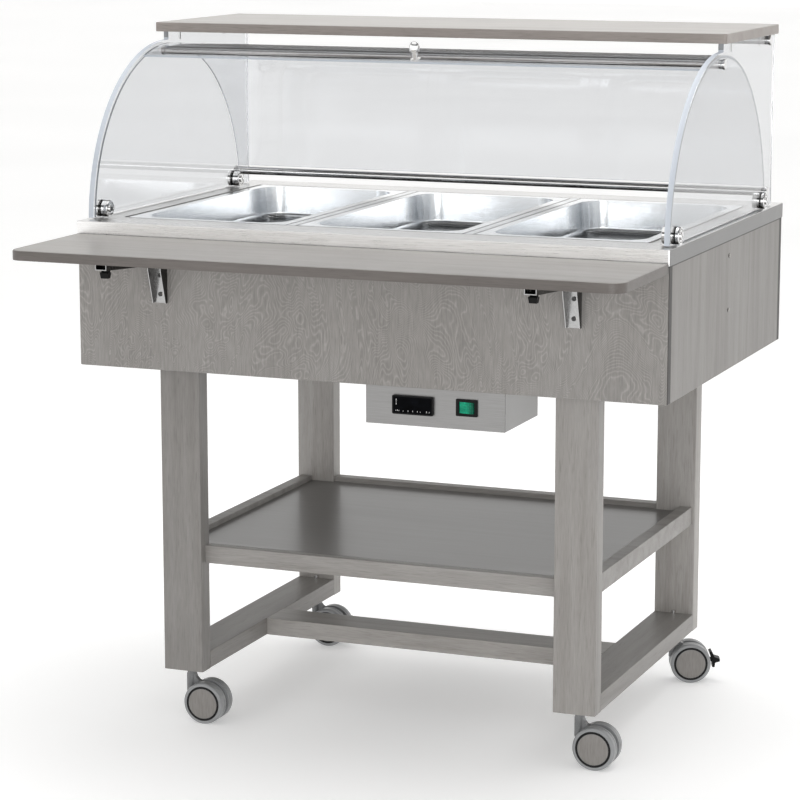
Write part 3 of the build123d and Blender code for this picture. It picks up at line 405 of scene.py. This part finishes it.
def display_glass():
    """The controller's window: near black, with hardly a reflection."""
    made = Finish("display_glass", Specular_IOR_Level=0.03)
    cloud = made.noise(made.scaled((45, 45, 45)), 1.0, 2.0, 0.5, 1.0)
    tone = made.ramp(cloud, (0.3, (0.0008, 0.0009, 0.0012)), (0.75, (0.003, 0.0035, 0.005)))
    return made.feed(Base_Color=tone, Roughness=made.spread(cloud, 0.12, 0.2))


def icon_print():
    """Pale print, with a painted glow."""
    made = Finish("icon_print", Emission_Strength=0.25)
    wear = made.noise(made.scaled((1500, 1500, 1500)), 1.0, 1.0)
    tone = made.ramp(wear, (0.3, grey(0.35)), (0.7, grey(0.75)))
    return made.feed(Base_Color=tone, Emission_Color=tone)


def floor_paint():
    """Pale matt floor, with some glow to bring it near the photo's white."""
    made = Finish("floor_paint", Emission_Strength=0.32)
    cloud = made.noise(made.scaled((0.6, 0.6, 0.6)), 1.0, 2.0)
    tone = made.ramp(cloud, (0.3, grey(0.86)), (0.7, grey(0.89)))
    return made.feed(Base_Color=tone, Emission_Color=tone, Roughness=made.spread(cloud, 0.75, 0.85))


# ---- finishes on the frame's own nodes ----------------------------------------------------------
def paint(material, *names):
    """Give one material to the named nodes."""
    for name in names:
        slots = nodes[name].data.materials
        slots.clear()
        slots.append(material)


def paint_wood():
    # painted light and shade: each leg's level set for the light it gets, rear legs lighter, front left
    # darkest
    for index, (corner, level) in enumerate(zip(CORNERS, (0.197, 0.256, 0.300, 0.312))):
        paint(wood(f"leg_wood_light_and_shade_{corner}", "z", level, 0.9, seed=index * 3.1), f"leg_{corner}")
    paint(wood("rail_wood_y", "y", 0.222, 1.0, 1.7), "bottom_rails")
    # painted light: the stretcher's wood lightened against the shade it sits in
    paint(wood("stretcher_wood_lightened", "x", 0.330, 1.0, 4.2), "stretcher")
    paint(wood("batten_wood", "x", 0.215, 1.0, 11.2), "inner_battens")
    paint(wood("shelf_frame_wood", "x", 0.245, 1.2, 6.3), "lower_shelf_frame")
    paint(figured_veneer("front_veneer", 0.225, 900.0, 2.0), "apron_front")
    paint(figured_veneer("rear_veneer", 0.225, 900.0, 8.5), "apron_rear")
    for side, seed in (("right", 9.4), ("left", 12.4)):
        # painted shade at the side boards' front and back edges, and a painted shadow below the worktop's rim
        timber = wood(f"side_wood_{side}", "z", 0.212, 0.9, seed, shaded_gaps=(SIDE_GAP_SHADE, RIM_SHADOW))
        paint(timber, f"apron_{side}")
    # upright edges darkened, partly stain and partly painted shade; painted shade along the board's back,
    # next to the worktop
    paint(wood("tray_wood", "x", 0.262, 0.8, 5.5, gloss=0.34, edge=0.40, shaded_gaps=(TRAY_GAP_SHADE,)),
          "tray_board")
    # painted reflection: the top shelf's wood lightened for the sheen its top shows; upright edges darkened,
    # partly stain and partly painted shade
    paint(wood("top_shelf_wood_sheen_lit", "x", 0.335, 0.7, 7.5, gloss=0.34, edge=0.70), "top_shelf")
    paint(board_laminate(), "lower_shelf_board")


def paint_metal():
    # painted shade on the worktop's end faces and painted light on its front faces
    paint(brushed_steel("worktop_steel", "x", 0.74, end_painted_light=0.29, front_painted_light=1.26), "worktop")
    paint(brushed_steel("box_steel", "x", 0.29, (0.30, 0.42)), "control_box_front")
    # painted light on the shell's end faces and painted shade along its front seam
    paint(brushed_steel("box_shell_steel", "x", 0.29, (0.30, 0.42), end_painted_light=1.2, shaded_gaps=(BOX_GAP_SHADE,)),
          "control_box_shell")
    paint(brushed_steel("tank_steel", "y", 0.58), "well_tank", "well_casing")
    # painted shade round each pan's rim, where it meets the worktop
    for name in ("pan_left", "pan_centre", "pan_right"):
        low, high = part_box(name)
        rim_shade_spans = [("X", low[0] + PAN_RIM_SHADE, high[0] - PAN_RIM_SHADE), ("Y", low[1] + PAN_RIM_SHADE, high[1] - PAN_RIM_SHADE)]
        paint(polished_steel(f"{name}_steel", shaded_gaps=rim_shade_spans), name)
    paint(polished_steel("bar_steel", 0.66, 0.2), "pan_divider_bars")
    # painted shade on the rods' and clamps' downward faces
    paint(chrome("rod_chrome", 0.74, underside_shade=0.12), "guard_rod_front_top", "guard_rod_rear_top",
          "guard_rod_rear_low")
    paint(chrome("clamp_chrome", 0.86, 0.05, underside_shade=0.16), "panel_clamps", "clamp_bolts_and_nuts")
    paint(chrome("knob_chrome", 0.92, 0.20), "cover_knob")
    # painted shade on the brackets' flanks
    paint(zinc("bracket_zinc_shaded_flanks", 0.44, flank_light_and_shade=0.09), "bracket_wall_left", "bracket_wall_right",
          "bracket_arm_left", "bracket_arm_right")
    paint(zinc("fitting_zinc"), "caster_stems", "well_fittings", "heating_element")
    # painted shade: screws made near black, with painted light on the faces that point along the table
    paint(zinc("screw_zinc_light_and_shade", 0.07, flank_light_and_shade=9.0), "screws_and_dowels")


def paint_plastic():
    paint(acrylic("panel_acrylic", (0.76, 0.77, 0.785)), "side_panel_left", "side_panel_right")
    paint(acrylic("cover_acrylic", (0.82, 0.83, 0.845), bent=True), "roll_cover")
    paint(moulded("black_plastic", 0.006, shine=0.12), "release_lever_left", "release_lever_right",
          "controller_body", "rocker_bezel", "cable_gland", "brake_pedal_rear_left", "brake_pedal_rear_right")
    paint(display_glass(), "controller_window")
    paint(rocker_lens(), "rocker_switch")
    paint(moulded("relay_plastic", 0.6), "switchgear")
    hood = moulded("hood_plastic", 0.175, -0.02, 0.24)
    tyre = moulded("wheel_plastic", 0.27, -0.02, 0.30)
    for corner in CORNERS:
        paint(hood, f"caster_hood_{corner}")
        paint(tyre, f"caster_wheels_{corner}")


# ---- pieces beyond the frame's own nodes --------------------------------------------------------
def add_piece(name, bm, material, body):
    """Turn a bmesh into a smooth-shaded piece that rides on a body."""
    mesh = bpy.data.meshes.new(name)
    bmesh.ops.recalc_face_normals(bm, faces=bm.faces)
    bm.to_mesh(mesh)
    bm.free()
    mesh.shade_smooth()
    mesh.set_sharp_from_angle(angle=radians(35))
    mesh.materials.append(material)
    piece = bpy.data.objects.new(name, mesh)
    bpy.context.collection.objects.link(piece)
    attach(piece, body)
    return piece


def lathe(bm, profile, place, steps=64):
    """Spin (radius, height) points about +Z and put the closed shape in place."""
    rings = []
    for radius, height in profile:
        turn = [2 * pi * step / steps for step in range(steps if radius else 1)]
        rings.append([bm.verts.new(place @ Vector((radius * cos(t), radius * sin(t), height))) for t in turn])
    for low, high in zip(rings, rings[1:]):
        for step in range(steps):
            corners = [low[step % len(low)], low[(step + 1) % len(low)],
                       high[(step + 1) % len(high)], high[step % len(high)]]
            bm.faces.new(list(dict.fromkeys(corners)))


def bar(bm, low, high):
    """A small block between two corners, with eased edges."""
    middle = [(a + b) / 2 for a, b in zip(low, high)]
    size = [abs(b - a) for a, b in zip(low, high)]
    place = Matrix.Translation(middle) @ Matrix.Diagonal((*size, 1))
    made = bmesh.ops.create_cube(bm, size=1.0, matrix=place)
    edges = list({edge for vert in made["verts"] for edge in vert.link_edges})
    bmesh.ops.bevel(bm, geom=edges, offset=min(size) * 0.25, segments=2, affect="EDGES")


def wheel_faces():
    """The dark ring and the domed hub cap on each outer face of the wheels."""
    ring_rubber = moulded("ring_rubber", 0.008, 0.0, 0.45, shine=0.2)
    cap_plastic = hub_cap()
    for corner in CORNERS:
        roll, swivel = joints[f"roll_{corner}"], joints[f"swivel_{corner}"]
        axle = Vector(roll["axis"]).normalized()
        centre = Vector(roll["pos_m"])
        stem = Vector(swivel["pos_m"])
        centre -= axle * (centre - stem).dot(axle)
        rings, caps = bmesh.new(), bmesh.new()
        for side in (1, -1):
            turn = (axle * side).to_track_quat("Z", "Y").to_matrix().to_4x4()
            place = Matrix.Translation(centre) @ turn
            lathe(rings, RING_PROFILE, place)
            lathe(caps, CAP_PROFILE, place)
        add_piece(f"wheel_rings_{corner}", rings, ring_rubber, f"wheels_{corner}")
        add_piece(f"hub_caps_{corner}", caps, cap_plastic, f"wheels_{corner}")


def stem_collars():
    """The black ring between each hood and the leg above it."""
    collar_rubber = moulded("collar_rubber", 0.010, 0.0, 0.4, shine=0.3)
    for corner in CORNERS:
        collar = bmesh.new()
        x, y, z = joints[f"swivel_{corner}"]["pos_m"]
        lathe(collar, COLLAR_PROFILE, Matrix.Translation((x, y, 0)))
        add_piece(f"stem_collar_{corner}", collar, collar_rubber, f"caster_{corner}")


def clamp_gaskets():
    """Black rubber rings between the clamps' jaws and both faces of each side panel."""
    gaskets = bmesh.new()
    for side in ("left", "right"):
        low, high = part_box(f"side_panel_{side}")
        for bolt_y in CLAMP_PLACES:
            for face in (low[0], high[0]):
                outward = 1 if face == high[0] else -1
                turn = Vector((outward, 0, 0)).to_track_quat("Z", "Y").to_matrix().to_4x4()
                lathe(gaskets, GASKET_PROFILE, Matrix.Translation((face, bolt_y, CLAMP_HEIGHT)) @ turn)
    add_piece("clamp_gaskets", gaskets, moulded("gasket_rubber", 0.008, 0.0, 0.5, shine=0.2), "trolley")


def display_marks():
    """Touch symbols: a row along the bottom of the display, and one upright mark near its left end."""
    low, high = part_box("controller_window")
    face = low[1]
    width, height = high[0] - low[0], high[2] - low[2]
    marks = bmesh.new()
    for place, tall in MARK_ROW:
        x, z = low[0] + width * place, low[2] + height * ROW_BASE
        bar(marks, (x, face - MARK_RAISE, z), (x + MARK_WIDTH, face, z + height * tall))
    x = low[0] + width * COLUMN_PLACE
    for start, stop in MARK_COLUMN:
        bar(marks, (x, face - MARK_RAISE, low[2] + height * start),
            (x + MARK_WIDTH, face, low[2] + height * stop))
    add_piece("display_marks", marks, icon_print(), "trolley")


# ---- stage --------------------------------------------------------------------------------------
def soft_light(name, place, aim, size, power, shown=True):
    """An area light, which polished surfaces may or may not mirror."""
    data = bpy.data.lights.new(name, "AREA")
    data.shape = "RECTANGLE"
    data.size, data.size_y = size
    data.energy = power
    light = bpy.data.objects.new(name, data)
    light.location = place
    light.visible_glossy = shown
    light.rotation_mode = "QUATERNION"
    light.rotation_quaternion = (Vector(aim) - Vector(place)).to_track_quat("-Z", "Y")
    bpy.context.collection.objects.link(light)


def sky():
    """A pale room with one dark band round it, well above the horizon, which only shows in the chrome."""
    world = bpy.data.worlds.new("studio")
    world.use_nodes = True
    bpy.context.scene.world = world
    tree = world.node_tree
    direction = tree.nodes.new("ShaderNodeTexCoord").outputs["Generated"]
    parts = tree.nodes.new("ShaderNodeSeparateXYZ")
    tree.links.new(direction, parts.inputs[0])
    ramp = tree.nodes.new("ShaderNodeValToRGB")
    tree.links.new(parts.outputs["Z"], ramp.inputs[0])
    set_stops(ramp.color_ramp,
              [(height, (level, level * 0.995, level * 0.985)) for height, level in SKY_BANDS])
    back = tree.nodes["Background"]
    tree.links.new(ramp.outputs[0], back.inputs["Color"])
    back.inputs["Strength"].default_value = SKY_STRENGTH


def stage():
    """Floor, room, lights and camera."""
    mesh = bpy.data.meshes.new("floor")
    corners = [(x * FLOOR_REACH, y * FLOOR_REACH, 0) for x, y in ((-1, -1), (1, -1), (1, 1), (-1, 1))]
    mesh.from_pydata(corners, [], [(0, 1, 2, 3)])
    mesh.materials.append(floor_paint())
    floor = bpy.data.objects.new("floor", mesh)
    bpy.context.collection.objects.link(floor)
    sky()
    soft_light("overhead", (0.3, 0.4, 3.8), (0.0, 0.0, 0.9), (3.2, 2.4), 55, shown=False)
    soft_light("front_fill", (1.6, -5.0, 1.2), (0.0, 0.0, 0.4), (2.6, 1.4), 45)
    bpy.context.scene.view_settings.view_transform = "Standard"

    data = bpy.data.cameras.new("camera")
    data.lens = CAMERA_LENS
    data.clip_end = 200
    camera = bpy.data.objects.new("camera", data)
    camera.location = CAMERA_PLACE
    camera.rotation_euler = (radians(90 - CAMERA_DOWN), 0, radians(CAMERA_AZIMUTH))
    bpy.context.collection.objects.link(camera)
    bpy.context.scene.camera = camera


stage()
paint_wood()
paint_metal()
paint_plastic()
wheel_faces()
stem_collars()
clamp_gaskets()
display_marks()
